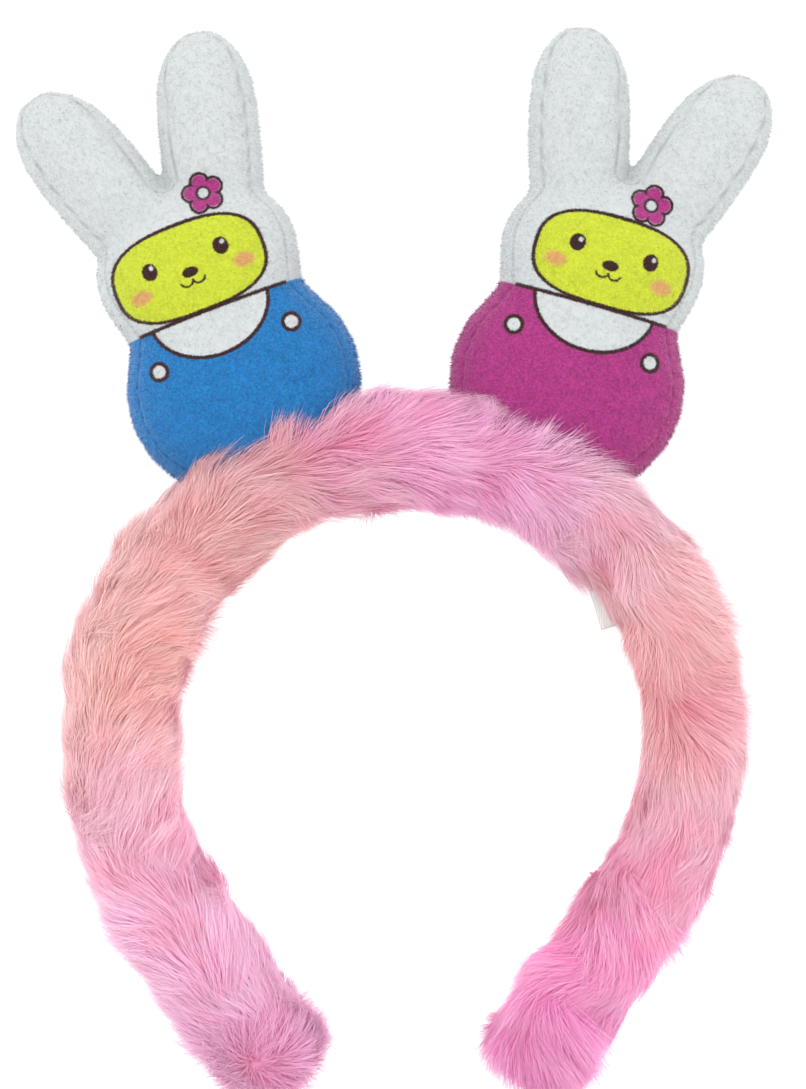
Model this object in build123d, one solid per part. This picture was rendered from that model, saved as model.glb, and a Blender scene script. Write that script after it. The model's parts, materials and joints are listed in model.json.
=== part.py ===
from build123d import *

# Plush headband. A springy plastic band wears a foam wrap and a long-pile fur sleeve,
# and two stuffed rabbits are sewn on top of it. The head goes in the open ring.
#
# Frame: the origin is the centre of the ring, +X is the viewer's right, +Y is the back,
# +Z is up. The rabbits look towards -Y. Lengths are millimetres, angles are degrees
# from +Z, positive towards +X.
#
# The band is one bending piece. It is cut at FLEX_ANGLE on each side, so that each arm
# can turn on the outer edge of the cut, as the arms do when the band is pulled open.

import os
from math import cos, radians, sin

# ---- driving dimensions ----
RING_RADIUS = 70.0  # centre of the plastic band
ARC_END = 125.0  # where the round part turns into the straight leg
FLEX_ANGLE = 68.0  # where each arm bends away from the crown
FLEX_GAP = 0.15  # degrees left free on each side of that cut

CORE_WIDTH = 12.0
CORE_THICKNESS = 1.8
CORE_EDGE = 0.8
CORE_LEG = 40.0

FOAM_WIDTH = 16.0
FOAM_THICKNESS = 8.0
FOAM_LEG = 43.0

FUR_HALF_DEPTH = 17.0
FUR_HALF_THICKNESS = 14.0
FUR_LEG = 40.0
FUR_TIP = 12.0  # length of the rounded tip past the straight leg
BACKING = 1.0  # knitted ground of the fur, between foam and pile

THREAD_RADIUS = 0.3
SEAM_STITCH = 3.5
SEAM_PITCH = 8.0
SEAM_GROOVE = 0.8  # the stitched fold that the thread lies in
GATHER = (9.0, 4.0, 1.0)  # where each end of the sleeve is drawn together
SEAM_RADIUS = RING_RADIUS - FOAM_THICKNESS / 2 - BACKING / 2

LABEL_ANGLE = 57.5
LABEL_WIDTH = 10.0
LABEL_LENGTH = 9.0
LABEL_THICKNESS = 0.25
LABEL_TURN = 16.0  # how far the sewn label hangs off square
LABEL_ROOT = 63.6  # radius of its sewn edge
LABEL_SLOT = 2.4  # parting in the pile that it hangs through

# ---- rabbits ----
SEAT_X = 33.6
SEAT_Z = 70.5
SKIN = 1.2  # plush fabric with its short pile
SEAM_ALLOWANCE = 1.1  # between the plush and the filling, where the seam is sewn
SEAT_GAP = 0.9
SWING = 12.0  # how far a rabbit tips each way on its stitches
AXIS_HEIGHT = -2.1  # of the tipping line, above the rabbit's own zero
POCKET_HALF_LENGTH = 31.0  # the parting in the fur that a rabbit stands in
POCKET_RADIUS = 19.5
RABBIT_STITCHES = 38
RABBIT_STITCH = 1.8
SEAM_Y = -3.0  # the panels meet a little in front of the middle

# (height, half width, half depth) of the body and head
TORSO = [
    (-9.0, 12.0, 4.5),
    (-5.0, 18.5, 8.0),
    (0.0, 23.0, 11.5),
    (8.0, 27.2, 14.8),
    (16.0, 28.6, 16.0),
    (24.0, 27.4, 15.8),
    (30.0, 24.4, 14.8),
    (35.0, 22.0, 14.0),
    (41.0, 23.8, 14.4),
    (47.0, 25.0, 14.6),
    (53.0, 24.0, 14.0),
    (59.0, 20.6, 12.2),
    (64.0, 14.5, 8.8),
    (66.5, 8.0, 5.2),
]
# (distance up the ear, half width, half depth)
EAR = [
    (0.0, 10.4, 6.5),
    (10.0, 11.8, 7.6),
    (20.0, 12.3, 8.2),
    (30.0, 12.3, 8.3),
    (38.0, 11.5, 7.8),
    (43.5, 9.4, 6.6),
    (47.2, 6.6, 4.8),
    (49.4, 3.6, 3.0),
]
EAR_ROOT_X = 7.4
EAR_ROOT_Z = 51.5
EAR_LEANS = (15.0, 19.0)  # of the ear nearer the middle of the band, and of the other

RABBITS = {
    "blue_rabbit": (-1, 21.0),  # side, lean away from the middle
    "magenta_rabbit": (1, 16.0),
}

FAR = 400.0


def ring_place(angle, radius=RING_RADIUS):
    """Where the band is at an angle: local X is its width, local Y points outwards."""
    place = Plane(origin=(0, 0, radius), x_dir=(0, 1, 0), z_dir=(1, 0, 0))
    return Rot(0, angle, 0) * place.location


def leg_direction():
    """The way the straight leg of the +X arm runs."""
    return Vector(cos(radians(ARC_END)), 0, -sin(radians(ARC_END)))


def arc(section, start, end):
    """A section swept round the ring between two angles."""
    return revolve(ring_place(start) * section, Axis.Y, end - start)


def leg(section, length):
    """A section run straight on from the end of the ring."""
    return extrude(ring_place(ARC_END) * section, length, dir=leg_direction())


def mirrored(part):
    return mirror(part, about=Plane.YZ)


def capsule(length, radius=THREAD_RADIUS):
    """One stitch: a short thread with round ends, along local Z."""
    straight = length - 2 * radius
    body = Cylinder(radius, straight)
    return body + Pos(0, 0, straight / 2) * Sphere(radius) + Pos(0, 0, -straight / 2) * Sphere(radius)


# ---- band ----
def core_section():
    return RectangleRounded(CORE_WIDTH, CORE_THICKNESS, CORE_EDGE)


def foam_outline():
    return SlotOverall(FOAM_WIDTH, FOAM_THICKNESS)


def fur_outline():
    return Ellipse(FUR_HALF_DEPTH, FUR_HALF_THICKNESS)


def groove_outline():
    """The fold on the inside of the ring that the sleeve's seam lies in."""
    depth = SEAM_RADIUS - RING_RADIUS
    return Pos(0, depth) * Rectangle(SEAM_GROOVE, SEAM_GROOVE)


def core_crown():
    """The middle of the plastic band."""
    limit = FLEX_ANGLE - FLEX_GAP
    return arc(core_section(), -limit, limit)


def core_arm():
    """The +X arm of the plastic band, with its round end."""
    part = arc(core_section(), FLEX_ANGLE + FLEX_GAP, ARC_END) + leg(core_section(), CORE_LEG)
    tip = ring_place(ARC_END).position + leg_direction() * CORE_LEG
    square = Plane(origin=tip, x_dir=(0, 1, 0), z_dir=leg_direction()).location
    radius = CORE_WIDTH / 2
    blank = Box(CORE_WIDTH + 1, CORE_THICKNESS + 1, radius, align=(Align.CENTER, Align.CENTER, Align.MAX))
    rounding = Pos(0, 0, -radius) * Rot(90, 0, 0) * Cylinder(radius, CORE_THICKNESS + 2)
    return part - square * (blank - rounding)


def foam_crown():
    """The foam round the middle of the band."""
    limit = FLEX_ANGLE - FLEX_GAP
    return arc(foam_outline() - core_section(), -limit, limit)


def foam_arm():
    """The foam round the +X arm, closed past the band's end."""
    part = arc(foam_outline(), FLEX_ANGLE + FLEX_GAP, ARC_END) + leg(foam_outline(), FOAM_LEG)
    hole = arc(core_section(), FLEX_ANGLE + FLEX_GAP, ARC_END) + leg(core_section(), CORE_LEG)
    return part - hole


def rabbit_place(name):
    """Where a rabbit's own zero and upright stand in the headband."""
    side, lean = RABBITS[name]
    return Pos(side * SEAT_X, 0, SEAT_Z) * Rot(0, side * lean, 0)


def ring_floor(radius):
    """A solid disc whose rim is the band's outer face at that radius."""
    return Rot(90, 0, 0) * Cylinder(radius, FAR)


def pocket(name):
    """The room in the pile that a rabbit tips in, down to the fur's ground."""
    half = Ellipse(POCKET_HALF_LENGTH, POCKET_RADIUS) & Pos(0, FAR / 2) * Rectangle(FAR, FAR)
    room = rabbit_place(name) * Pos(0, 0, AXIS_HEIGHT) * revolve(half, Axis.X)
    return room - ring_floor(RING_RADIUS + FOAM_THICKNESS / 2 + BACKING)


def fur_crown():
    """The fur sleeve over the middle of the band, parted for the rabbits and the label."""
    limit = FLEX_ANGLE - FLEX_GAP
    part = arc(fur_outline() - foam_outline() - groove_outline(), -limit, limit)
    for name in RABBITS:
        part -= pocket(name)
    slot = Box(LABEL_SLOT, 2 * LABEL_LENGTH, LABEL_WIDTH + 1)
    return part - label_place() * Pos(0, 0.2 - LABEL_LENGTH, 0) * slot


def fur_arm():
    """The fur sleeve over the +X arm, closed round its end."""
    part = arc(fur_outline(), FLEX_ANGLE + FLEX_GAP, ARC_END) + leg(fur_outline(), FUR_LEG)
    tip = ring_place(ARC_END).position + leg_direction() * FUR_LEG
    square = Plane(origin=tip, x_dir=(0, 1, 0), z_dir=leg_direction()).location
    dome = scale(Sphere(1.0), by=(FUR_HALF_DEPTH, FUR_HALF_THICKNESS, FUR_TIP))
    dome = split(dome, Plane.XY, keep=Keep.TOP)
    hole = foam_outline() + groove_outline()
    inside = arc(hole, FLEX_ANGLE + FLEX_GAP, ARC_END) + leg(hole, FOAM_LEG)
    return part + square * dome - inside - tip_place() * Box(*GATHER)


# ---- thread ----
def seam_stitches(start, end):
    """Stitches that close the sleeve, along the inside of the ring."""
    count = round(radians(end - start) * SEAM_RADIUS / SEAM_PITCH)
    step = (end - start) / count
    angles = [start + step * (i + 0.5) for i in range(count)]
    return Compound([ring_place(a, SEAM_RADIUS) * capsule(SEAM_STITCH) for a in angles])


def leg_stitches():
    """The same seam down the straight leg of the +X arm."""
    count = int(CORE_LEG / SEAM_PITCH)
    start = ring_place(ARC_END, SEAM_RADIUS)
    shifts = [leg_direction() * (SEAM_PITCH * (i + 0.5)) for i in range(count)]
    return [Pos(*shift) * start * capsule(SEAM_STITCH) for shift in shifts]


def arm_seam():
    ring = seam_stitches(FLEX_ANGLE + 1, ARC_END - 1)
    return Compound([*ring.solids(), *leg_stitches()])


def tip_place():
    """Where the sleeve is gathered, just past the foam of the +X arm."""
    return Pos(*(leg_direction() * (FOAM_LEG + 1.0))) * ring_place(ARC_END)


def tip_stitches():
    """Stitches that gather the sleeve shut past the end of the +X arm."""
    stitch = Rot(90, 0, 0) * capsule(SEAM_STITCH)
    return Compound([tip_place() * Pos(x, 0, 0) * stitch for x in (-3.0, -1.0, 1.0, 3.0)])


def anchor_stitches(name):
    """Stitches over the top of the band that hold a rabbit down."""
    side, _ = RABBITS[name]
    radius = RING_RADIUS + FOAM_THICKNESS / 2 + BACKING + THREAD_RADIUS + 0.05
    middle, spread, count = 25.5, 11.0, 7
    angles = [side * (middle - spread + 2 * spread * i / (count - 1)) for i in range(count)]
    return Compound([ring_place(a, radius) * Rot(0, 90, 0) * capsule(5.0) for a in angles])


# ---- care label ----
def label_place():
    """The sewn edge of the label: local Y points outwards, local Z runs along the band."""
    return ring_place(LABEL_ANGLE, LABEL_ROOT) * Rot(LABEL_TURN, 0, 0)


def care_label():
    """A blank satin ribbon folded in two, with the fold towards the head."""
    hang = (Align.CENTER, Align.MAX, Align.CENTER)
    folded = Box(3 * LABEL_THICKNESS, LABEL_LENGTH, LABEL_WIDTH, align=hang)
    inside = Box(LABEL_THICKNESS, LABEL_LENGTH, LABEL_WIDTH + 1, align=hang)
    return label_place() * (folded - Pos(0, LABEL_THICKNESS, 0) * inside)


def label_stitches():
    """Two stitches that lie on the front of the label's sewn edge."""
    front = 1.5 * LABEL_THICKNESS + THREAD_RADIUS + 0.02
    shifts = (-LABEL_WIDTH / 4, LABEL_WIDTH / 4)
    return Compound([label_place() * Pos(-front, -0.9, z) * capsule(2.0) for z in shifts])


# ---- rabbit ----
def inset_station(stations, i, inset):
    """One ellipse of a tapered solid, moved inwards along its outline's normal."""
    height, width, depth = stations[i]
    below, above = stations[max(i - 1, 0)], stations[min(i + 1, len(stations) - 1)]
    run = Vector(above[1] - below[1], above[0] - below[0]).normalized()
    return Pos(0, 0, height + inset * run.X) * Ellipse(width - inset * run.Y, depth - inset)


def tapered(stations, inset):
    """A smooth solid through ellipses; inset makes it that much smaller all round."""
    return loft([inset_station(stations, i, inset) for i in range(len(stations))])


def rabbit_shape(name, inset=0.0):
    """Body, head and both ears as one solid, before the seat is cut."""
    shape = tapered(TORSO, inset)
    for side in (-1, 1):
        lean = EAR_LEANS[side == RABBITS[name][0]]
        ear = tapered(EAR, inset)
        shape += Pos(side * EAR_ROOT_X, 0, EAR_ROOT_Z) * Rot(0, side * lean, 0) * ear
    return shape


def seat_cut(name, gap):
    """What a rabbit has to stay clear of below, at rest and at both ends of its swing."""
    floor = rabbit_place(name).inverse() * ring_floor(RING_RADIUS + FOAM_THICKNESS / 2 + BACKING + gap)
    line = Pos(0, 0, AXIS_HEIGHT)
    return [line * Rot(a, 0, 0) * line.inverse() * floor for a in (-SWING, 0, SWING)]


def seated(shape, name, gap):
    for floor in seat_cut(name, gap):
        shape -= floor
    return shape


def half_space(side):
    """Everything in front of (-1) or behind (1) the seam plane."""
    return Pos(0, SEAM_Y + side * FAR / 2, 0) * Box(FAR, FAR, FAR)


def rabbit_seam(name):
    """Running stitches inside the edge where the two panels meet."""
    inset = SKIN + SEAM_ALLOWANCE / 2
    line = seated(rabbit_shape(name, inset), name, SEAT_GAP + inset)
    wire = section(line, Plane.XZ.offset(-SEAM_Y)).faces()[0].outer_wire()
    stitches = []
    for i in range(RABBIT_STITCHES):
        along = (i + 0.5) / RABBIT_STITCHES
        spot = Plane(origin=wire.position_at(along), x_dir=(0, 1, 0), z_dir=wire.tangent_at(along))
        stitches.append(spot.location * capsule(RABBIT_STITCH))
    return Compound(stitches)


def rabbit(name):
    """One stuffed rabbit: two sewn panels, their seam and the filling."""
    place = rabbit_place(name)
    inset = SKIN + SEAM_ALLOWANCE
    skin = seated(rabbit_shape(name), name, SEAT_GAP)
    shell = skin - seated(rabbit_shape(name, SKIN), name, SEAT_GAP + SKIN)
    filling = seated(rabbit_shape(name, inset), name, SEAT_GAP + inset)
    return {
        f"{name}_front_panel": place * (shell & half_space(-1)),
        f"{name}_back_panel": place * (shell & half_space(1)),
        f"{name}_stuffing": place * filling,
        f"{name}_seam_stitches": place * rabbit_seam(name),
        f"{name}_anchor_stitches": anchor_stitches(name),
    }


def all_parts():
    parts = {
        "core_crown": core_crown(),
        "foam_crown": foam_crown(),
        "fur_sleeve_crown": fur_crown(),
        "sleeve_seam_crown": seam_stitches(-FLEX_ANGLE + 1, FLEX_ANGLE - 1),
        "care_label": care_label(),
        "care_label_stitches": label_stitches(),
    }
    arm = {
        "core": core_arm(),
        "foam": foam_arm(),
        "fur_sleeve": fur_arm(),
        "sleeve_seam": arm_seam(),
        "tip_stitches": tip_stitches(),
    }
    for piece, shape in arm.items():
        parts[f"{piece}_right_arm"] = shape
        parts[f"{piece}_left_arm"] = mirrored(shape)
    for name in RABBITS:
        parts |= rabbit(name)
    return parts


os.makedirs("parts", exist_ok=True)
for node, shape in all_parts().items():
    export_step(shape, f"parts/{node}.step")
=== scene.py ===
import json
from math import cos, pi, radians, sin

import bmesh
import bpy
import numpy as np
from mathutils import Euler, Matrix, Vector
from mathutils.kdtree import KDTree


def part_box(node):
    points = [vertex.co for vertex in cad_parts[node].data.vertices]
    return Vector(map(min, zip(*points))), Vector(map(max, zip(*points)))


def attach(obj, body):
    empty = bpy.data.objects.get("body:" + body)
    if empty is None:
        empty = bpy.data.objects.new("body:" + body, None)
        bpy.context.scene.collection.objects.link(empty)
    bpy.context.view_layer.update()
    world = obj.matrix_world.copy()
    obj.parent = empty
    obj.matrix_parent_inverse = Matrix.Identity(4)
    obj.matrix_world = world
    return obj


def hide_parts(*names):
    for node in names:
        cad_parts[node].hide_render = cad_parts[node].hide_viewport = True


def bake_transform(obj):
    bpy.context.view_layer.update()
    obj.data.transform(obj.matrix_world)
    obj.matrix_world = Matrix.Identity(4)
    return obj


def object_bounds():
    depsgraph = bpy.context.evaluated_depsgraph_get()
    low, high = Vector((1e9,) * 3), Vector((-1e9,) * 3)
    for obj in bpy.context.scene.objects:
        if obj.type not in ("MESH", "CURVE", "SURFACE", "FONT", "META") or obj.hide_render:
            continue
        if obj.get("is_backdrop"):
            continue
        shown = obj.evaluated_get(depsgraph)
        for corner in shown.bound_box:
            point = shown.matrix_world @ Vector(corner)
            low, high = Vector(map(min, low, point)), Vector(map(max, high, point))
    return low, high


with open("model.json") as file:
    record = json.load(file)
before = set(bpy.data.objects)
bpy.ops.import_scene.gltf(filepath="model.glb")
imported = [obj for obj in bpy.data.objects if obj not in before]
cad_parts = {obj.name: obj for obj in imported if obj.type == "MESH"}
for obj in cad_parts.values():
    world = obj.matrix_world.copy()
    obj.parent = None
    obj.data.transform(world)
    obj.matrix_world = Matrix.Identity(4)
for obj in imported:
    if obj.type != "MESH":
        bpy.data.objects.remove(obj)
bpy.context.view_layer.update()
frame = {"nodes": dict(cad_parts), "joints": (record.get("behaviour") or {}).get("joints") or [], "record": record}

# Lengths below are millimetres, like the design, and meshes are written in metres.
MM = 0.001

# ---- band, as the design has it ----
CORE_THICKNESS = 1.8
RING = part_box("core_crown")[1].z / MM - CORE_THICKNESS / 2
TURN = radians(125)
LEG = 40.0
HALF_BAND = RING * TURN + LEG
SEAT_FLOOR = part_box("foam_crown")[1].z / MM + 1.0  # radius that the felt is pressed down to under a rabbit
SEAT_GAP = 0.9  # how far a rabbit's cloth stays off that

# ---- label, as the design has it ----
LABEL_ANGLE = 57.5
LABEL_TURN = 16.0
LABEL_ROOT = 63.6
LABEL_WIDTH = 10.0
LABEL_LENGTH = 9.0

# ---- fur ----
GROUND_THICKNESS = 9.0  # half sizes of the felted ground that the visible pile stands on
GROUND_DEPTH = 12.0
GROUND_TIP = 8.0  # how far the ground's domes reach past the ends
FUR_INWARD = 1.8  # how far the fur of the +X arm sits in from the band's middle
STRAND_POINTS = 4
FUR_PIECE_STRANDS = 39000


# ---------------------------------------------------------------- meshes
def put_mesh(name, points, faces, material):
    """A mesh object from points in millimetres and equal-sized faces."""
    faces = np.asarray(faces, np.int32)
    count, corners = faces.shape
    mesh = bpy.data.meshes.new(name)
    mesh.vertices.add(len(points))
    mesh.vertices.foreach_set("co", (np.asarray(points) * MM).astype(np.float32).ravel())
    mesh.loops.add(count * corners)
    mesh.loops.foreach_set("vertex_index", faces.ravel())
    mesh.polygons.add(count)
    mesh.polygons.foreach_set("loop_start", np.arange(count, dtype=np.int32) * corners)
    mesh.update(calc_edges=True)
    mesh.polygons.foreach_set("use_smooth", np.full(count, True))
    mesh.materials.append(material)
    made = bpy.data.objects.new(name, mesh)
    bpy.context.scene.collection.objects.link(made)
    return made


def put_attribute(piece, name, values):
    """A float or vector attribute, one value a vertex."""
    values = np.asarray(values, np.float32)
    kind, field = ("FLOAT", "value") if values.ndim == 1 else ("FLOAT_VECTOR", "vector")
    made = piece.data.attributes.new(name, kind, "POINT")
    made.data.foreach_set(field, values.ravel())


def put_uv(piece, uv):
    """The layout that the surface is baked on, one pair a vertex."""
    corner = np.empty(len(piece.data.loops), np.int32)
    piece.data.loops.foreach_get("vertex_index", corner)
    layer = piece.data.uv_layers.new(name="OFBake")
    layer.data.foreach_set("uv", np.asarray(uv, np.float32)[corner].ravel())


def vertices_of(piece):
    flat = np.empty(len(piece.data.vertices) * 3, np.float32)
    piece.data.vertices.foreach_get("co", flat)
    return flat.reshape(-1, 3).astype(float) / MM


def normals_of(piece):
    flat = np.empty(len(piece.data.vertices) * 3, np.float32)
    piece.data.vertices.foreach_get("normal", flat)
    return flat.reshape(-1, 3)


def unit(vectors):
    return vectors / np.maximum(np.linalg.norm(vectors, axis=-1, keepdims=True), 1e-9)


def smoothstep(low, high, x):
    t = np.clip((x - low) / (high - low), 0, 1)
    return t * t * (3 - 2 * t)


class Waves:
    """Smooth seeded noise in space, about -1 to 1: a sum of sine waves in random directions."""

    def __init__(self, seed, wavelength, count=14):
        rng = np.random.default_rng(seed)
        ways = unit(rng.normal(size=(count, 3)))
        lengths = wavelength * rng.uniform(0.6, 1.6, (count, 1))
        self.ways = 2 * pi * ways / lengths
        self.phases = rng.uniform(0, 2 * pi, count)
        self.gain = 1.4 / count ** 0.5

    def at(self, points):
        return np.sin(points @ self.ways.T + self.phases).sum(-1) * self.gain


# ---------------------------------------------------------------- band's path
def path(along):
    """Centre, clockwise tangent and outward normal at lengths along the band from the crown."""
    turn = np.clip(along / RING, -TURN, TURN)
    zero = np.zeros_like(turn)
    tangent = np.stack([np.cos(turn), zero, -np.sin(turn)], -1)
    normal = np.stack([np.sin(turn), zero, np.cos(turn)], -1)
    centre = RING * normal + tangent * (along - turn * RING)[..., None]
    return centre, tangent, normal


def inward(along):
    """How far the fur sits in from the band's middle, at lengths along the band."""
    return FUR_INWARD * smoothstep(RING * radians(45), RING * radians(85), along)


def hull(along, around, thickness, depth, tip):
    """Points and normals of an oval tube on the band, closed by domes past both ends.
    around is 0 on the outer side and pi/2 at the front."""
    over = np.clip(np.abs(along) - HALF_BAND, 0, tip)
    rise = np.arcsin(np.clip(over / tip, 0, 1))
    centre, tangent, normal = path(np.clip(along, -HALF_BAND, HALF_BAND))
    centre = centre - normal * inward(along)[..., None]
    front = np.array([0.0, -1.0, 0.0])
    out, fore = np.cos(around)[..., None], np.sin(around)[..., None]
    shrink, climb = np.cos(rise)[..., None], (np.sin(rise) * np.sign(along))[..., None]
    point = centre + shrink * (thickness * out * normal + depth * fore * front) + tip * climb * tangent
    slope = shrink * (out / thickness * normal + fore / depth * front) + climb / tip * tangent
    return point, unit(slope)


# ---------------------------------------------------------------- rabbits' places
# (height, half width, half depth), as in the design
TORSO = [
    (-9.0, 12.0, 4.5),
    (-5.0, 18.5, 8.0),
    (0.0, 23.0, 11.5),
    (8.0, 27.2, 14.8),
    (16.0, 28.6, 16.0),
    (24.0, 27.4, 15.8),
    (30.0, 24.4, 14.8),
    (35.0, 22.0, 14.0),
    (41.0, 23.8, 14.4),
    (47.0, 25.0, 14.6),
    (53.0, 24.0, 14.0),
    (59.0, 20.6, 12.2),
    (64.0, 14.5, 8.8),
    (66.5, 8.0, 5.2),
]
EAR = [
    (0.0, 10.4, 6.5),
    (10.0, 11.8, 7.6),
    (20.0, 12.3, 8.2),
    (30.0, 12.3, 8.3),
    (38.0, 11.5, 7.8),
    (43.5, 9.4, 6.6),
    (47.2, 6.6, 4.8),
    (49.4, 3.6, 3.0),
]
EAR_ROOT = (7.4, 51.5)
EAR_LEANS = (radians(15), radians(19))  # of the ear nearer the middle of the band, and of the other
BLANK_INSET = 0.2  # how much smaller the cloth starts than it is when stuffed
CROTCH_Z, CROTCH_DRAW = 70.5, 2.6  # where the cloth is drawn down between the ears
STITCH_PITCH = 2.4
SEAT_BOTTOM, SEAT_TOP = -9.0, 60.0  # heights between which a rabbit can meet the fur


def body_size(height):
    """Half width and half depth of a rabbit's body and head at heights."""
    heights, widths, depths = np.array(TORSO).T
    return np.interp(height, heights, widths), np.interp(height, heights, depths)


class Place:
    """Where one rabbit stands: its own frame, from the joint that it tips on."""

    AXIS_HEIGHT = -2.1

    def __init__(self, name):
        joint = next(j for j in frame["joints"] if j["name"] == f"{name}_tilt")
        self.name = name
        self.right = np.array(joint["axis"], float)
        self.right /= np.linalg.norm(self.right)
        self.back = np.array([0.0, 1.0, 0.0])
        self.up = np.cross(self.right, self.back)
        self.pivot = np.array(joint["pos_m"], float) / MM
        self.origin = self.pivot - self.AXIS_HEIGHT * self.up
        self.axes = np.stack([self.right, self.back, self.up])
        self.swing = radians(joint["range_deg"][1])

    def local(self, points):
        return (points - self.origin) @ self.axes.T

    def world(self, points):
        return points @ self.axes + self.origin

    def depth_in(self, points, margin):
        """How deep points are in the rabbit's lower half, grown by a margin; below 0 is outside."""
        near = self.local(points)
        half, depth = body_size(np.clip(near[..., 2], SEAT_BOTTOM, SEAT_TOP))
        inside = 1 - np.hypot(near[..., 0] / (half + margin), near[..., 1] / (depth + margin))
        return np.where(near[..., 2] < SEAT_TOP, inside, -1)

    def seated(self, points):
        """Lifts points of the rabbit off the band, at rest and at both ends of its swing."""
        pivot = np.array([0, 0, self.AXIS_HEIGHT])
        for angle in (-self.swing, self.swing, 0.0):
            a, b = cos(angle), sin(angle)
            turn = np.array([[1, 0, 0], [0, a, -b], [0, b, a]])
            placed = self.world((points - pivot) @ turn.T + pivot)
            radius = np.hypot(placed[:, 0], placed[:, 2])
            placed[:, [0, 2]] *= np.maximum(1, (SEAT_FLOOR + SEAT_GAP) / radius)[:, None]
            points = (self.local(placed) - pivot) @ turn + pivot
        return points


PLACES = [Place("blue_rabbit"), Place("magenta_rabbit")]


# ---------------------------------------------------------------- material helpers
class Nodes:
    """A short way to write a node material."""

    def __init__(self, name):
        self.material = bpy.data.materials.new(name)
        self.material.use_nodes = True
        self.tree = self.material.node_tree
        self.shader = self.tree.nodes["Principled BSDF"]

    def node(self, kind, **settings):
        made = self.tree.nodes.new(kind)
        for key, value in settings.items():
            setattr(made, key, value)
        return made

    def feed(self, socket, value):
        if isinstance(value, bpy.types.NodeSocket):
            self.tree.links.new(value, socket)
        else:
            socket.default_value = value

    def math(self, operation, *values, clamp=False):
        made = self.node("ShaderNodeMath", operation=operation, use_clamp=clamp)
        for socket, value in zip(made.inputs, values):
            self.feed(socket, value)
        return made.outputs[0]

    def attribute(self, name):
        return self.node("ShaderNodeAttribute", attribute_name=name)

    def noise(self, vector, scale, detail=2.0, roughness=0.5):
        made = self.node("ShaderNodeTexNoise")
        self.feed(made.inputs["Vector"], vector)
        for key, value in (("Scale", scale), ("Detail", detail), ("Roughness", roughness)):
            made.inputs[key].default_value = value
        return made.outputs["Fac"]

    def scaled(self, vector, scale):
        made = self.node("ShaderNodeVectorMath", operation="MULTIPLY")
        self.feed(made.inputs[0], vector)
        made.inputs[1].default_value = scale
        return made.outputs[0]

    def remap(self, value, low, high, to_low=0.0, to_high=1.0, smooth=True):
        made = self.node("ShaderNodeMapRange", interpolation_type="SMOOTHSTEP" if smooth else "LINEAR")
        for socket, number in zip(made.inputs, (value, low, high, to_low, to_high)):
            self.feed(socket, number)
        return made.outputs[0]

    def mix(self, factor, first, second, blend="MIX"):
        made = self.node("ShaderNodeMix", data_type="RGBA", blend_type=blend)
        self.feed(made.inputs["Factor"], factor)
        self.feed(made.inputs[6], first)
        self.feed(made.inputs[7], second)
        return made.outputs[2]

    def ramp(self, factor, stops):
        made = self.node("ShaderNodeValToRGB")
        self.feed(made.inputs["Fac"], factor)
        made.color_ramp.interpolation = "B_SPLINE"
        elements = made.color_ramp.elements
        for spot, colour in stops[1:-1]:
            elements.new(spot).color = colour
        elements[0].position, elements[0].color = stops[0]
        elements[-1].position, elements[-1].color = stops[-1]
        return made.outputs["Color"]

    def bump(self, height, distance, strength=1.0):
        made = self.node("ShaderNodeBump")
        made.inputs["Distance"].default_value = distance
        made.inputs["Strength"].default_value = strength
        self.feed(made.inputs["Height"], height)
        self.feed(self.shader.inputs["Normal"], made.outputs["Normal"])

    def finish(self, colour, **numbers):
        self.feed(self.shader.inputs["Base Color"], colour)
        for key, value in numbers.items():
            self.shader.inputs[key.replace("_", " ")].default_value = value
        return self.material


def rgb(red, green, blue):
    """A linear colour from the usual 0 to 255 screen values."""
    channels = [c / 255 for c in (red, green, blue)]
    return tuple(c / 12.92 if c <= 0.04045 else ((c + 0.055) / 1.055) ** 2.4 for c in channels) + (1.0,)


# ---------------------------------------------------------------- fur
# (place on the band, as degrees of its arc from the crown, and the dye's colour there). The legs run
# straight on past 125 degrees, and places past a tip count as the tip.
DYE = [
    (-190, (232, 173, 215)),
    (-170, (233, 180, 220)),
    (-150, (250, 202, 233)),
    (-130, (247, 198, 231)),
    (-110, (250, 194, 215)),
    (-90, (249, 210, 205)),
    (-70, (245, 191, 180)),
    (-50, (245, 202, 203)),
    (-30, (225, 178, 170)),
    (-10, (238, 163, 207)),
    (10, (242, 176, 223)),
    (30, (234, 184, 217)),
    (50, (243, 205, 206)),
    (70, (238, 171, 172)),
    (90, (240, 197, 201)),
    (110, (252, 190, 221)),
    (130, (247, 152, 208)),
    (150, (253, 159, 227)),
    (190, (231, 129, 196)),
]
PATCH_DYE, BACK_DYE = rgb(240, 132, 190), rgb(240, 150, 212)
PALE_TIP = (0.96, 0.82, 0.86, 1.0)
DEEP_ROOT = (1.0, 0.8, 0.8, 1.0)  # what the dye is multiplied by at the roots
MATTED = (1.0, 0.7, 0.76, 1.0)  # what the dye is multiplied by where the pile is matted


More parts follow.
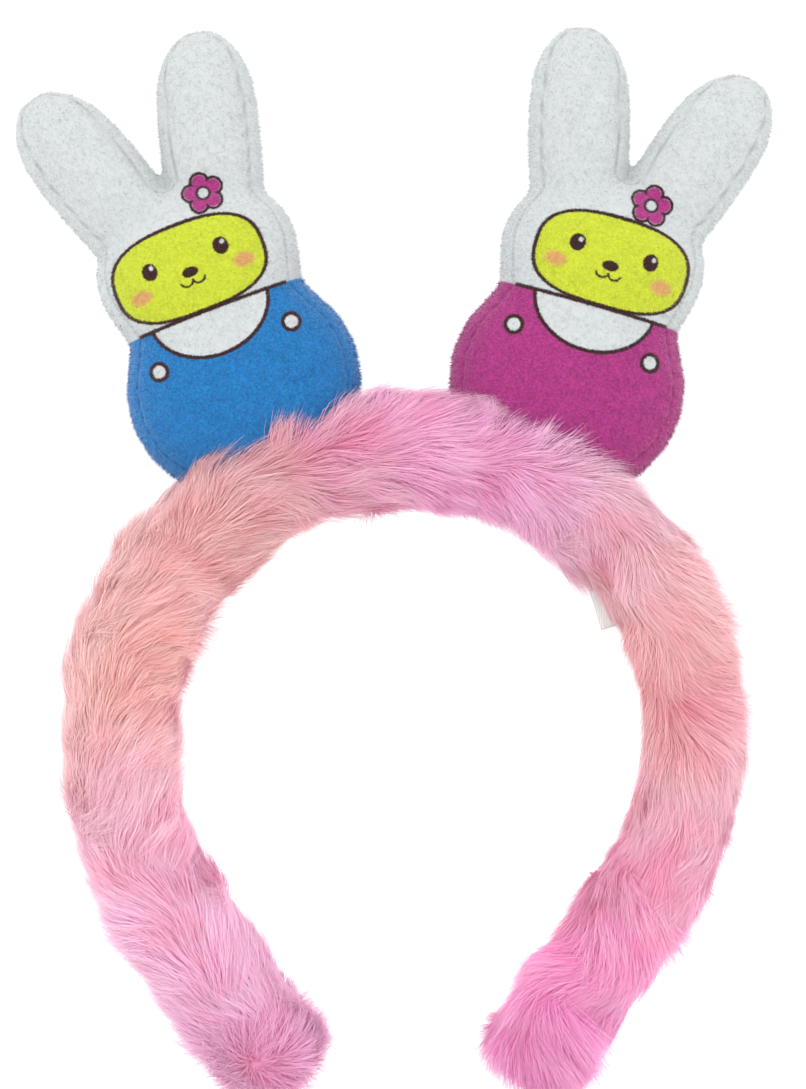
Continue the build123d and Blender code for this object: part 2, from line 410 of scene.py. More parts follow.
def fur_material():
    """Tie-dyed pile: it changes colour along the band, and is deep at the roots and pale at the tips."""
    m = Nodes("dyed_fur")
    spot = m.attribute("spot").outputs["Vector"]
    strand = m.node("ShaderNodeSeparateXYZ")
    m.feed(strand.inputs[0], m.attribute("strand").outputs["Vector"])
    height, shade, along = strand.outputs
    blotch = m.noise(spot, 60, 3)
    shifted = m.math("ADD", along, m.math("MULTIPLY", m.math("SUBTRACT", blotch, 0.5), 0.09))
    stops = [((radians(a) * RING / HALF_BAND + 1) / 2, rgb(*colour)) for a, colour in DYE]
    stops = [(min(max(place, 0.0), 1.0), colour) for place, colour in stops]
    dye = m.ramp(shifted, stops)
    side = m.node("ShaderNodeSeparateXYZ")
    m.feed(side.inputs[0], spot)
    back = m.remap(side.outputs[1], 0.0, 0.010)
    patch = m.remap(m.noise(m.scaled(spot, (1.0, 1.7, 1.0)), 38, 2), 0.55, 0.68)
    vivid = m.remap(m.noise(spot, 45, 2), 0.45, 0.62, 0.1, 0.5)
    dye = m.mix(m.math("MULTIPLY", back, vivid), dye, BACK_DYE)
    dye = m.mix(m.math("MULTIPLY", patch, 0.2), dye, PATCH_DYE)
    deep = m.mix(1.0, dye, DEEP_ROOT, "MULTIPLY")
    pale = m.mix(0.45, dye, PALE_TIP)
    colour = m.mix(m.remap(height, 0.05, 0.5), deep, dye)
    colour = m.mix(m.remap(height, 0.4, 1.0), colour, pale)
    colour = m.mix(m.remap(shade, 0.72, 1.0, 0.0, 0.6), colour, pale)
    matted = m.remap(m.noise(m.scaled(spot, (1.0, 1.0, 1.6)), 150, 3), 0.48, 0.66)
    colour = m.mix(m.math("MULTIPLY", matted, 0.6), colour, m.mix(1.0, dye, MATTED, "MULTIPLY"))
    colour = m.mix(m.attribute("edge").outputs["Fac"], colour, pale)
    tone = m.remap(shade, 0.0, 1.0, 0.92, 1.03, smooth=False)
    bright = m.node("ShaderNodeHueSaturation")
    m.feed(bright.inputs["Value"], tone)
    m.feed(bright.inputs["Color"], colour)
    # Painted light: a faint pink emission stands in for light scattered through the fibres, so the gaps between
    # the tufts stay pink.
    painted_glow = {"Emission_Color": (1.0, 0.4, 0.45, 1.0), "Emission_Strength": 0.03}
    return m.finish(bright.outputs["Color"], Roughness=0.8, Specular_IOR_Level=0.15, **painted_glow)


class Fur:
    """Combs the pile. Every strand starts on the ground and lies over along the band, clockwise."""

    PILE = 5.0  # how far the pile stands off its ground
    LENGTH = 15.5
    CHEVRON = (0.75, 0.42)  # how strongly it parts from the middle of the front, at -X and at +X
    CROWN_CHEVRON = 0.35  # how much more it parts at the crown
    SWEEP = (0.5, 0.2)  # how strongly the upper part is brushed towards +X
    PUSH = 1.3  # how strongly a rabbit pushes the pile outward
    WHORL_REACH, WHORL_CORE = 24.0, 6.0
    WANDER, TUFT_WANDER = 0.5, 0.28  # turns, in radians, that the lay takes over long and short ways
    SPREAD = 0.14  # radians between neighbouring strands
    UNDER_SHARE, UNDER_LENGTH, UNDER_PILE = 0.35, 0.5, 0.55  # the short frizzy strands among the long
    SLIM = 0.4  # how much lower the pile is on the +X arm
    CLUMPS = ((5.5, 0.5), (1.8, 0.32))  # distance between tufts, and how far the strands draw together
    FRIZZ, UNDER_FRIZZ = 0.16, 0.45
    WRAP = 0.035  # how fast the pile follows the band's oval section round
    WIDTH, TIP_WIDTH = 0.105, 0.02

    def __init__(self):
        self.material = fur_material()
        self.turn_noise = Waves(11, 26.0)
        self.lift_noise = Waves(12, 17.0)
        self.length_noise = Waves(13, 30.0)
        self.tuft_noise = Waves(14, 8.0)
        self.tuft_lift = Waves(15, 7.0)
        whorl_places = (np.full(2, -HALF_BAND - 1), np.array([pi / 2 - 0.5, 0.5 - pi / 2]))
        self.whorls = list(self.ground(*whorl_places)[0])

    @staticmethod
    def ground(along, around):
        return hull(along, around, GROUND_THICKNESS, GROUND_DEPTH, GROUND_TIP)

    def roots(self, rng, count, low, high):
        """Random (along, around) places, even over the ground's area."""
        table = np.linspace(0, 2 * pi, 721)
        speed = np.hypot(GROUND_THICKNESS * np.sin(table), GROUND_DEPTH * np.cos(table))
        length = np.concatenate([[0], np.cumsum((speed[1:] + speed[:-1]) / 2)])
        around = np.interp(rng.uniform(0, length[-1], count * 2), length, table)
        along = rng.uniform(low, high, count * 2)
        turning = np.abs(along) < RING * TURN
        stretch = 1 + turning * GROUND_THICKNESS * np.cos(around) / RING
        dome = np.clip((np.abs(along) - HALF_BAND) / GROUND_TIP, 0, 0.999)
        weight = stretch * np.sqrt(1 - dome ** 2)
        kept = rng.uniform(0, 1.15, count * 2) < weight
        return along[kept][:count], around[kept][:count]

    def lay(self, root, normal, along, around):
        """The way the pile lies at each root, along the surface."""
        _, tangent, outward = path(np.clip(along, -HALF_BAND, HALF_BAND))
        side = np.clip(np.cos(around) * 1.5, -1, 1)[:, None]
        upper = smoothstep(-60, 10, root[:, 2])[:, None]
        right = smoothstep(-20, 45, root[:, 0])[:, None]
        chevron = self.CHEVRON[0] * (1 - right) + self.CHEVRON[1] * right
        sweep = (self.SWEEP[0] * (1 - right) + self.SWEEP[1] * right) * upper
        crown = smoothstep(40, 20, np.abs(root[:, 0]))[:, None] * upper
        chevron = chevron + self.CROWN_CHEVRON * crown
        way = tangent + chevron * side * outward + sweep * np.array([1.0, 0, 0])
        for place in PLACES:
            pushed = smoothstep(-0.7, -0.1, place.depth_in(root, 1.0))[:, None]
            way = way + pushed * (self.PUSH * outward - 0.3 * tangent)
        for whorl in self.whorls:
            away = root - whorl
            near = 1 - smoothstep(0.25, 1.0, np.linalg.norm(away, axis=1) / self.WHORL_REACH)[:, None]
            way = way * (1 - near) + unit(away) * near * 1.6
        way -= normal * (way * normal).sum(1, keepdims=True)
        way = unit(way)
        turn = self.WANDER * self.turn_noise.at(root) + self.TUFT_WANDER * self.tuft_noise.at(root)
        turn = turn[:, None]
        return unit(way * np.cos(turn) + np.cross(normal, way) * np.sin(turn))

    def guide(self, root, normal, way, length, pile):
        """Points of each strand: it rises from the ground and bends over along its lay."""
        t = np.linspace(0, 1, STRAND_POINTS)[None, :, None]
        rise = 1 - (1 - t) ** 2.2
        run = 0.35 * t + 0.65 * t ** 1.6
        reach = np.sqrt(np.maximum(length ** 2 - pile ** 2, 1))[:, None, None]
        curl = self.bend(root, normal, way)[:, None, None] * (run * reach) ** 2 / 2
        points = root[:, None] + normal[:, None] * (pile[:, None, None] * rise - curl)
        return points + way[:, None] * run * reach

    def bend(self, root, normal, way):
        """How fast the band's surface falls away along the lay, so that the pile follows it."""
        radius = np.hypot(root[:, 0], root[:, 2])
        outward = np.stack([root[:, 0], 0 * radius, root[:, 2]], 1) / radius[:, None]
        facing = (normal * outward).sum(1)
        across = np.stack([outward[:, 2], 0 * radius, -outward[:, 0]], 1)
        along = (way * across).sum(1) ** 2
        on_ring = root[:, 2] > -40
        return np.where(on_ring, along * facing / radius, 0) + self.WRAP * (1 - along)

    def strands(self, seed, count, low, high):
        """One piece's strands as rows of points, with what their shape and colour came from."""
        rng = np.random.default_rng(seed)
        along, around = self.roots(rng, count, low, high)
        root, normal = self.ground(along, around)
        open_ground = np.ones(len(root), bool)
        radius = np.hypot(root[:, 0], root[:, 2])
        for place in PLACES:
            open_ground &= (place.depth_in(root, 0.3) < 0) | (radius < SEAT_FLOOR)
        along, around, root, normal = (a[open_ground] for a in (along, around, root, normal))
        count = len(root)

        way = self.lay(root, normal, along, around)
        whorled = np.min([np.linalg.norm(root - whorl, axis=1) for whorl in self.whorls], 0)
        spread = self.SPREAD + 0.9 * np.exp(-(whorled / self.WHORL_CORE) ** 2)
        spin = (rng.normal(0, 1, count) * spread)[:, None]
        way = unit(way * np.cos(spin) + np.cross(normal, way) * np.sin(spin))
        length = self.LENGTH * (1 + 0.18 * self.length_noise.at(root)) * rng.uniform(0.72, 1.1, count)
        thin = 1 - self.SLIM * smoothstep(25, 65, root[:, 0])
        under = rng.uniform(0, 1, count) < self.UNDER_SHARE
        length = np.where(under, self.UNDER_LENGTH * length, length)
        thin = np.where(under, self.UNDER_PILE * thin, thin)
        lift = 1 + 0.16 * self.lift_noise.at(root) + 0.16 * self.tuft_lift.at(root)
        pile = self.PILE * thin * lift * rng.uniform(0.6, 1.08, count)
        points = self.guide(root, normal, way, length, pile)

        for spacing, pull in self.CLUMPS:
            points = self.clump(rng, points, root, spacing, pull)
        t = np.linspace(0, 1, STRAND_POINTS)[None, :, None]
        points += rng.normal(0, 0.5, (count, 1, 3)) * t
        points += rng.normal(0, self.FRIZZ, points.shape) * t
        points += under[:, None, None] * rng.normal(0, self.UNDER_FRIZZ, points.shape) * t
        points = self.clear_rabbits(points)
        return points, root, normal, along, around, length, rng

    def clump(self, rng, points, root, spacing, pull):
        """Draws the strands' ends towards the middle strand of their tuft. Tufts are about spacing apart."""
        count = len(root)
        leaders = max(20, int(count * min(1.0, 9.0 / spacing ** 2 / 3.3)))
        chosen = rng.choice(count, min(leaders, count), replace=False)
        tree = KDTree(len(chosen))
        for i, c in enumerate(chosen):
            tree.insert(root[c], i)
        tree.balance()
        owner = chosen[np.array([tree.find(r)[1] for r in root])]
        t = np.linspace(0, 1, STRAND_POINTS)[None, :, None]
        strength = pull * rng.uniform(0.5, 1.0, count)[:, None, None] * t ** 1.5
        return points + (points[owner] - points) * strength

    def clear_rabbits(self, points):
        """Lays the pile against a rabbit's front or back instead of through it."""
        for place in PLACES:
            local = place.local(points)
            half, depth = body_size(local[..., 2])
            across = np.clip(1 - (local[..., 0] / (half + 0.5)) ** 2, 0, None)
            wall = (depth + 0.6) * np.sqrt(across)
            seated = (local[..., 2] > SEAT_BOTTOM) & (local[..., 2] < SEAT_TOP)
            inside = seated & (np.abs(local[..., 1]) < wall)
            side = np.where(points[:, :1, 1] < 0, -1.0, 1.0)
            local[..., 1] = np.where(inside, side * wall, local[..., 1])
            points = np.where(inside[..., None], place.world(local), points)
        return points

    def piece(self, name, seed, count, low, high):
        """One mesh of tapered ribbons."""
        points, root, normal, along, around, length, rng = self.strands(seed, count, low, high)
        count = len(root)
        step = np.gradient(points, axis=1)
        flat = unit(np.cross(unit(step), normal[:, None]))
        twist = rng.normal(0, 0.6, (count, 1, 1))
        flat = flat * np.cos(twist) + np.cross(unit(step), flat) * np.sin(twist)
        t = np.linspace(0, 1, STRAND_POINTS)
        width = (self.WIDTH * (1 - t ** 2.5) + self.TIP_WIDTH)[None, :, None]
        width = width * rng.uniform(0.7, 1.3, (count, 1, 1)) / 2
        left, right = points - flat * width, points + flat * width
        sides = np.stack([left[:, :-1], right[:, :-1]], 2).reshape(count, -1, 3)
        rows = 2 * (STRAND_POINTS - 1)
        vertices = np.concatenate([sides, points[:, -1:]], 1).reshape(-1, 3)
        faces = [(2 * i, 2 * i + 1, 2 * i + 3, 2 * i + 2) for i in range(STRAND_POINTS - 2)]
        triangles = [(a, b, c) for a, b, c, d in faces] + [(a, c, d) for a, b, c, d in faces]
        triangles.append((rows - 2, rows - 1, rows))
        every = (np.arange(count) * (rows + 1))[:, None, None] + np.array(triangles)[None]
        made = put_mesh(name, vertices, every.reshape(-1, 3), self.material)

        level = np.append(np.repeat(t[:-1], 2), 1.0)
        height = (np.minimum(1, length / self.LENGTH)[:, None] * level[None]).ravel()
        shade = np.repeat(rng.uniform(0, 1, count), rows + 1)
        place = np.repeat((along / HALF_BAND + 1) / 2, rows + 1)
        put_attribute(made, "strand", np.stack([height, shade, place], 1))
        put_attribute(made, "spot", np.repeat(root * MM, rows + 1, 0))
        put_attribute(made, "edge", np.repeat(self.edge(around), rows + 1))
        self.bake_cells(made, count, level, rows + 1)
        return made

    @staticmethod
    def edge(around):
        """How much paler the pile is made, most along the band's outer side."""
        out = np.cos(around)
        return 0.6 * smoothstep(0.25, 0.95, out) + 0.25 * smoothstep(0.4, 1.0, -out)

    def bake_cells(self, made, count, level, per_strand):
        """One small cell of the baked picture for each strand."""
        grid = int(np.ceil(count ** 0.5))
        cell = np.arange(count)
        across = np.append(np.tile([0.3, 0.7], (per_strand - 1) // 2), 0.5)
        u = (cell % grid)[:, None] + across[None]
        v = (cell // grid)[:, None] + 0.15 + 0.7 * level[None]
        put_uv(made, np.stack([u, v], -1).reshape(-1, 2) / grid)

    def felt(self, name, low, high):
        """The dense underfur that the long pile stands on, dented where the rabbits sit."""
        rows, columns = max(8, int((high - low) / 1.6)), 56
        along = np.linspace(low, high, rows + 1)[:, None] + np.zeros(columns)[None]
        around = np.linspace(0, 2 * pi, columns, endpoint=False)[None] + np.zeros((rows + 1, 1))
        points, normal = self.ground(along, around)
        ripple = Waves(21, 5.0).at(points) * 0.5 + Waves(22, 2.4).at(points) * 0.25
        points = points + normal * ripple[..., None]
        for place in PLACES:
            radius = np.hypot(points[..., 0], points[..., 2])
            dent = smoothstep(-0.12, 0.0, place.depth_in(points, 1.0))
            shrink = 1 - dent * (1 - np.minimum(1, SEAT_FLOOR / radius))
            points = points * np.stack([shrink, np.ones_like(shrink), shrink], -1)
        start = np.arange(rows)[:, None] * columns
        here, after = np.arange(columns), (np.arange(columns) + 1) % columns
        faces = np.stack([start + here, start + after, start + columns + after, start + columns + here], -1)
        made = put_mesh(name, points.reshape(-1, 3), faces.reshape(-1, 4), self.material)
        near_root = np.full(points.shape[:2], 0.12)
        shade = 0.5 + 0.25 * Waves(23, 1.2).at(points)
        strand = np.stack([near_root, shade, (along / HALF_BAND + 1) / 2], -1)
        put_attribute(made, "strand", strand.reshape(-1, 3))
        put_attribute(made, "spot", points.reshape(-1, 3) * MM)
        put_attribute(made, "edge", self.edge(around).ravel())
        return made


# ---------------------------------------------------------------- rabbits
def loft(stations, inset, sides=40):
    """A closed solid through ovals."""
    rings = []
    around = np.linspace(0, 2 * pi, sides, endpoint=False)
    for height, width, depth in stations:
        oval = np.stack([np.cos(around) * (width - inset), np.sin(around) * (depth - inset)], -1)
        rings.append(np.concatenate([oval, np.full((sides, 1), height)], 1))
    points = np.concatenate(rings)
    faces = []
    for here in range(0, sides * (len(stations) - 1), sides):
        for i in range(sides):
            after = (i + 1) % sides
            faces.append([here + i, here + after, here + sides + after, here + sides + i])
    ends = [list(range(sides))[::-1], [len(points) - sides + i for i in range(sides)]]
    return points, faces, ends


def rabbit_blank(outer, inset):
    """Body, head and ears as overlapping closed shapes in the rabbit's own frame.
    outer is the side that its outer ear is on."""
    made = bmesh.new()
    shapes = [(TORSO, Matrix.Identity(4))]
    for side in (-1, 1):
        root = Matrix.Translation((side * EAR_ROOT[0], 0, EAR_ROOT[1]))
        shapes.append((EAR, root @ Matrix.Rotation(side * EAR_LEANS[side == outer], 4, "Y")))
    for stations, move in shapes:
        points, faces, ends = loft(stations, inset)
        corners = [made.verts.new(move @ Vector(p) * MM) for p in points]
        for face in faces + ends:
            made.faces.new([corners[i] for i in face])
    mesh = bpy.data.meshes.new("rabbit_blank")
    bmesh.ops.recalc_face_normals(made, faces=made.faces)
    made.to_mesh(mesh)
    made.free()
    return mesh


def modified(piece):
    """Applies the piece's modifiers to its mesh."""
    graph = bpy.context.evaluated_depsgraph_get()
    mesh = bpy.data.meshes.new_from_object(piece.evaluated_get(graph))
    piece.modifiers.clear()
    piece.data = mesh
    return piece


def remeshed(piece, voxel, rounds):
    remesh = piece.modifiers.new("remesh", "REMESH")
    remesh.mode, remesh.voxel_size = "VOXEL", voxel * MM
    smooth = piece.modifiers.new("smooth", "SMOOTH")
    smooth.factor, smooth.iterations = 0.5, rounds
    return modified(piece)


def inflate(piece, held, pressure, frames, cap):
    """Cloth blown up from inside, held along its seam, and moved at most cap."""
    start = vertices_of(piece)
    group = piece.vertex_groups.new(name="seam")
    for i in np.flatnonzero(held > 0.01):
        group.add([int(i)], float(held[i]), "REPLACE")
    cloth = piece.modifiers.new("cloth", "CLOTH")
    settings = cloth.settings
    settings.quality = 6
    settings.mass = 0.02
    settings.tension_stiffness = settings.compression_stiffness = 20
    settings.bending_stiffness = 5
    settings.use_pressure = True
    settings.uniform_pressure_force = pressure
    settings.vertex_group_mass = "seam"
    settings.pin_stiffness = 1.0
    settings.effector_weights.gravity = 0
    cloth.collision_settings.use_collision = False
    cloth.point_cache.frame_start, cloth.point_cache.frame_end = 1, frames
    scene = bpy.context.scene
    for number in range(1, frames + 1):
        scene.frame_set(number)
    modified(piece)
    scene.frame_set(1)
    move = vertices_of(piece) - start
    size = np.linalg.norm(move, axis=1, keepdims=True)
    move_vertices(piece, start + move * np.minimum(1, cap / np.maximum(size, 1e-6)))
    piece.vertex_groups.clear()


def move_vertices(piece, points):
    piece.data.vertices.foreach_set("co", (points * MM).astype(np.float32).ravel())
    piece.data.update()


def stuffed_rabbit(name, outer):
    """One sewn and stuffed body, still whole, in its own frame."""
    piece = bpy.data.objects.new(f"{name}_body", rabbit_blank(outer, BLANK_INSET))
    bpy.context.scene.collection.objects.link(piece)
    remeshed(piece, voxel=1.2, rounds=5)
    away = np.abs(from_seam(vertices_of(piece)))
    inflate(piece, 1 - smoothstep(0.8, 2.4, away), pressure=2.0, frames=20, cap=1.2)
    piece.modifiers.new("fine", "SUBSURF").levels = 1
    modified(piece)
    points = vertices_of(piece)
    near = np.exp(-((points[:, 0] - outer * 0.5) / 2.2) ** 2 - ((points[:, 2] - CROTCH_Z) / 3.2) ** 2)
    points[:, 2] -= CROTCH_DRAW * near
    move_vertices(piece, points)
    return piece


def from_seam(points):
    """How far behind the seam points are. The seam runs in front of the widest part, least so
    at the tips of the ears."""
    heights = (0, 30, 50, 62, 85, 94, 99)
    return points[..., 1] + np.interp(points[..., 2], heights, (6.5, 7, 6, 5, 5, 3.2, 2))


def crease(piece):
    """Cuts loops along the seam and draws the cloth in there, a little more at every stitch.
    Gives each vertex's distance from the seam, and how near it is to a stitch."""
    made = bmesh.new()
    made.from_mesh(piece.data)
    for vertex in made.verts:
        vertex.co.y = from_seam(np.array(vertex.co) / MM) * MM
    for level in (-0.9, -0.4, 0.0, 0.4, 0.9):
        bmesh.ops.bisect_plane(made, geom=[*made.verts, *made.edges, *made.faces],
                               plane_co=(0, level * MM, 0), plane_no=(0, 1, 0), dist=1e-6)
    made.normal_update()
    made.to_mesh(piece.data)
    made.free()
    shifted = vertices_of(piece)
    points = shifted.copy()
    points[:, 1] -= from_seam(shifted) - shifted[:, 1]
    move_vertices(piece, points)
    away = shifted[:, 1]
    around = np.arctan2(points[:, 0], points[:, 2] - 45) * 38
    stitch = 0.5 + 0.5 * np.cos(2 * pi * around / STITCH_PITCH)
    valley = 0.12 * np.exp(-((away / 1.3) ** 2))
    groove = (0.06 + 0.2 * stitch) * np.exp(-((away / 0.42) ** 2))
    move_vertices(piece, points - normals_of(piece) * (valley + groove)[:, None])
    return away, stitch


def panel(body, away, name, side, material):
    """The front (-1) or back (1) half of a body, on its own side of the seam."""
    made = bmesh.new()
    made.from_mesh(body.data)
    made.verts.ensure_lookup_table()
    far = np.where(np.abs(away) < 0.01, 0, away) * side
    gone = [f for f in made.faces if sum(far[v.index] for v in f.verts) < 0]
    bmesh.ops.delete(made, geom=gone, context="FACES")
    mesh = bpy.data.meshes.new(name)
    made.to_mesh(mesh)
    made.free()
    mesh.materials.append(material)
    mesh.polygons.foreach_set("use_smooth", np.full(len(mesh.polygons), True))
    piece = bpy.data.objects.new(name, mesh)
    bpy.context.scene.collection.objects.link(piece)
    return piece


def print_layout(piece, local):
    """The pattern that a panel is printed on, which it is also baked on."""
    put_attribute(piece, "print", local)
    low, high = local.min(0), local.max(0)
    span = max(high[0] - low[0], high[2] - low[2])
    flat = (local[:, [0, 2]] - low[[0, 2]]) / span
    put_uv(piece, 0.02 + 0.96 * flat)


class Print(Nodes):
    """Shapes printed on plush, laid out in the rabbit's own millimetres."""

    LINE = 0.48  # half the width of a printed line

    def __init__(self, name):
        super().__init__(name)
        self.spot = self.attribute("print").outputs["Vector"]
        nap = self.node("ShaderNodeTexNoise")
        self.feed(nap.inputs["Vector"], self.spot)
        nap.inputs["Scale"].default_value = 2.6
        wobble = self.node("ShaderNodeVectorMath", operation="SUBTRACT")
        self.feed(wobble.inputs[0], nap.outputs["Color"])
        wobble.inputs[1].default_value = (0.5, 0.5, 0.5)
        moved = self.node("ShaderNodeVectorMath", operation="MULTIPLY_ADD")
        self.feed(moved.inputs[0], wobble.outputs[0])
        moved.inputs[1].default_value = (0.7, 0.7, 0.7)
        self.feed(moved.inputs[2], self.spot)
        split = self.node("ShaderNodeSeparateXYZ")
        self.feed(split.inputs[0], moved.outputs[0])
        self.x, _, self.z = split.outputs

    def oval(self, cx, cz, rx, rz, power=2.0):
        """Distance outside an oval, or a rounder box with a higher power."""
        shares, squares = [], []
        for axis, centre, radius in ((self.x, cx, rx), (self.z, cz, rz)):
            value = self.math("SUBTRACT", axis, centre)
            share = self.math("ABSOLUTE", self.math("DIVIDE", value, radius))
            shares.append(self.math("POWER", share, power))
            squares.append(self.math("MULTIPLY", value, value))
        share = self.math("MAXIMUM", self.math("POWER", self.math("ADD", *shares), 1 / power), 0.001)
        away = self.math("SQRT", self.math("ADD", *squares))
        return self.math("SUBTRACT", away, self.math("DIVIDE", away, share))

    def within(self, distance, edge=0.22):
        return self.remap(distance, -edge, edge, 1.0, 0.0)

    def line(self, distance, half=None):
        return self.within(self.math("SUBTRACT", self.math("ABSOLUTE", distance), half or self.LINE))

    def both(self, first, second):
        return self.math("MULTIPLY", first, second)


PRINT_WHITE = rgb(197, 201, 202)
PRINT_LIME = rgb(190, 202, 52)
PRINT_BROWN = rgb(52, 24, 26)
PRINT_BLUE = rgb(28, 114, 176)
PRINT_MAGENTA = rgb(162, 50, 122)
PRINT_ROSE = rgb(214, 96, 120)
NECK_Z = 35.3


def plush_material(name, cloth, outer):
    """The printed front. The face sits off the middle, towards the outer ear."""
    m = Print(name)
    shift = outer * 2.0
    collar = m.math("SUBTRACT", m.z, NECK_Z)
    below = m.within(collar)
    colour = m.mix(below, PRINT_WHITE, cloth)
    bib = m.oval(shift * 0.5, NECK_Z + 1.0, 14.6, 12.0)
    colour = m.mix(m.both(m.within(bib), below), colour, PRINT_WHITE)
    colour = m.mix(m.both(m.line(bib), below), colour, PRINT_BROWN)
    reach = m.within(m.math("SUBTRACT", m.math("ABSOLUTE", m.math("SUBTRACT", m.x, shift * 0.5)), 19.5))
    colour = m.mix(m.both(m.line(collar), reach), colour, PRINT_BROWN)
    face = m.oval(shift, 46.3, 18.6, 10.7, power=2.7)
    colour = m.mix(m.within(face), colour, PRINT_LIME)
    colour = m.mix(m.line(face), colour, PRINT_BROWN)
    for side in (-1, 1):
        cheek = m.oval(shift + side * 13.0, 43.6, 2.5, 1.7)
        colour = m.mix(m.math("MULTIPLY", m.within(cheek, 0.8), 0.55), colour, PRINT_ROSE)
        colour = m.mix(m.within(m.oval(shift + side * 9.0, 48.6, 1.9, 2.1)), colour, PRINT_BROWN)
        glint = m.oval(shift + side * 9.0 + 0.6, 49.4, 0.55, 0.55)
        colour = m.mix(m.within(glint), colour, PRINT_WHITE)
        smile = m.oval(shift + side * 1.5, 43.4, 1.5, 1.3)
        under = m.within(m.math("SUBTRACT", m.z, 43.4))
        colour = m.mix(m.both(m.line(smile, 0.28), under), colour, PRINT_BROWN)
        button = m.oval(shift * 0.3 + side * 16.8, 25.8, 2.0, 2.0)
        colour = m.mix(m.within(button), colour, PRINT_WHITE)
        colour = m.mix(m.line(button), colour, PRINT_BROWN)
    colour = m.mix(m.within(m.oval(shift, 45.2, 2.0, 1.25)), colour, PRINT_BROWN)
    colour = flower(m, colour, 7.5, 62.0)
    return plush_finish(m, colour)


def flower(m, colour, cx, cz):
    """Five round petals with a white middle, by one ear."""
    petals = [(cx + 2.9 * cos(a), cz + 2.9 * sin(a)) for a in [pi / 2 + 2 * pi * i / 5 for i in range(5)]]
    shapes = [m.oval(x, z, 2.1, 2.1) for x, z in petals]
    for shape in shapes:
        colour = m.mix(m.line(shape, 0.38), colour, PRINT_BROWN)
    for shape in shapes:
        colour = m.mix(m.within(m.math("ADD", shape, 0.38)), colour, PRINT_MAGENTA)
    middle = m.oval(cx, cz, 1.5, 1.5)
    colour = m.mix(m.within(middle), colour, PRINT_WHITE)
    return m.mix(m.line(middle, 0.3), colour, PRINT_BROWN)


def plain_plush_material(name, cloth):
    """The back panel: the same cloth and hood with nothing printed on it."""
    m = Print(name)
    colour = m.mix(m.within(m.math("SUBTRACT", m.z, NECK_Z)), PRINT_WHITE, cloth)
    return plush_finish(m, colour)


def plush_finish(m, colour):
    """Short brushed pile: fine mottling, a soft sheen, a nap, and painted shade along the seam."""
    fine = m.noise(m.scaled(m.spot, (1.0, 1.0, 1.5)), 1.5, 3, 0.65)
    strong = m.node("ShaderNodeSeparateColor", mode="HSV")
    m.feed(strong.inputs[0], colour)
    grain = m.math("MULTIPLY", m.remap(strong.outputs[1], 0.1, 0.6, 0.04, 0.45),
                   m.remap(strong.outputs[2], 0.45, 0.58, 1.0, 0.4))
    tone = m.math("ADD", m.math("MULTIPLY", m.remap(fine, 0.35, 0.65, -0.5, 0.5), grain), 1.0)
    # Painted shade: the colour is darkened by up to about a quarter along the seam's crease, most at each stitch.
    tone = m.math("MULTIPLY", tone, m.remap(m.attribute("seam").outputs["Fac"], 0.0, 1.0, 1.0, 0.74))
    shade = m.node("ShaderNodeHueSaturation")
    m.feed(shade.inputs["Value"], tone)
    m.feed(shade.inputs["Color"], colour)
    m.bump(m.noise(m.scaled(m.spot, (1.6, 1.6, 0.9)), 1.3, 3, 0.6), 0.00035, 0.8)
    return m.finish(shade.outputs["Color"], Roughness=0.92, Specular_IOR_Level=0.15, Sheen_Weight=0.35,
                    Sheen_Roughness=0.5)


def nap(name, body, seed, count, length, materials):
    """The short pile itself: one thin leaning triangle a hair, coloured by the print under it."""
    rng = np.random.default_rng(seed)
    mesh = body.data
    mesh.calc_loop_triangles()
    corners = np.empty(len(mesh.loop_triangles) * 3, np.int32)
    mesh.loop_triangles.foreach_get("vertices", corners)
    corners = corners.reshape(-1, 3)
    points, normals = vertices_of(body), normals_of(body)
    a, b, c = (points[corners[:, i]] for i in range(3))
    area = np.linalg.norm(np.cross(b - a, c - a), axis=1)
    open_cloth = np.abs(from_seam(points[corners]).mean(1)) > 0.3
    area = area * np.where(open_cloth, 1.0, 0.25)
    face = rng.choice(len(area), count, p=area / area.sum())
    mix = rng.dirichlet((1, 1, 1), count)
    root = (points[corners[face]] * mix[..., None]).sum(1)
    normal = unit((normals[corners[face]] * mix[..., None]).sum(1))
    lean = unit(np.array([0.15, 0, -0.6]) + rng.normal(0, 0.45, (count, 3)))
    top = root + (normal + 0.7 * lean) * (length * rng.uniform(0.5, 1.0, (count, 1)))
    flat = unit(np.cross(normal, rng.normal(size=(count, 3)))) * 0.06
    root = root - normal * 0.1
    vertices = np.stack([root - flat, root + flat, top], 1).reshape(-1, 3)
    faces = np.arange(count * 3).reshape(-1, 3)
    spot = np.repeat(root, 3, 0)
    made = put_mesh(name, vertices, faces, materials[0])
    made.data.materials.append(materials[1])
    behind = (from_seam(root) > 0).astype(np.int32)
    made.data.polygons.foreach_set("material_index", behind)
    put_attribute(made, "print", spot)
    grid = int(np.ceil(count ** 0.5))
    cell = np.arange(count)
    middle = np.stack([cell % grid, cell // grid], -1)[:, None]
    corner = np.array([[0.3, 0.3], [0.7, 0.3], [0.5, 0.7]])[None]
    put_uv(made, ((middle + corner) / grid).reshape(-1, 2))
    return made


def set_down(piece, place):
    """Moves a piece from the rabbit's own frame to its place on the band."""
    move_vertices(piece, place.world(vertices_of(piece)))


